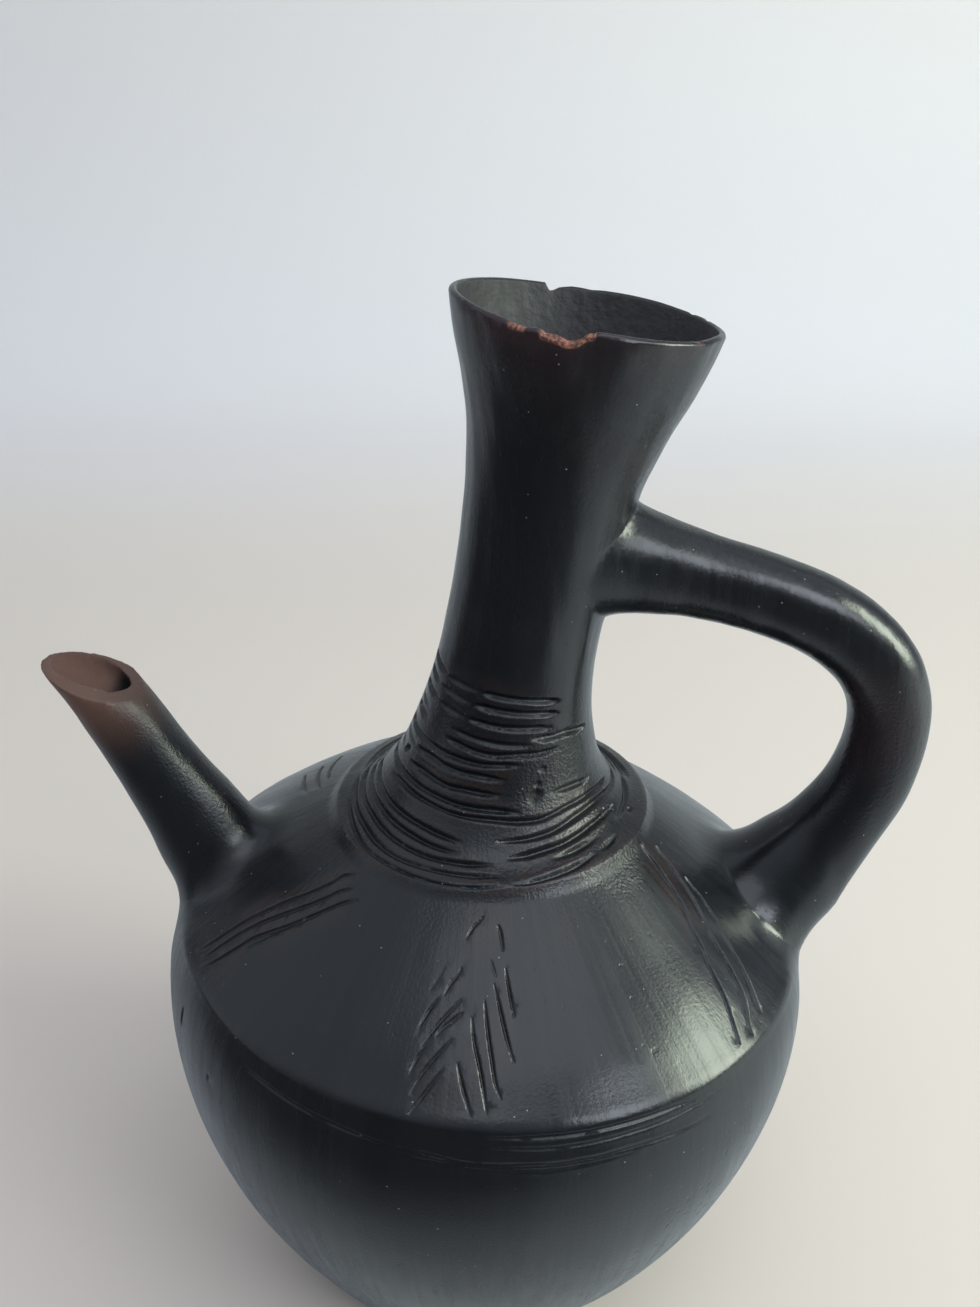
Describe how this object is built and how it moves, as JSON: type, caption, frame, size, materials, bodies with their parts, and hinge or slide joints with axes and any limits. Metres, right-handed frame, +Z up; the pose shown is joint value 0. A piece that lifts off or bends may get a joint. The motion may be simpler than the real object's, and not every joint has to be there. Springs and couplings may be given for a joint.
{
  "type": "clay coffee pot",
  "caption": "Round-bellied black clay coffee pot with a leaning flared neck, a ring-grooved collar, a hollow side spout and one loop handle.",
  "frame": {"origin": "centre of the flat foot, on the table", "axes": "+Z up from the foot, +X from the middle towards the handle, so that the spout points to -X"},
  "size_m": [0.2013, 0.156, 0.2499],
  "materials": {
    "clay": "burnished satin, smoked black"
  },
  "bodies": {
    "root": {"coffee_pot": "clay"}
  },
  "joints": []
}
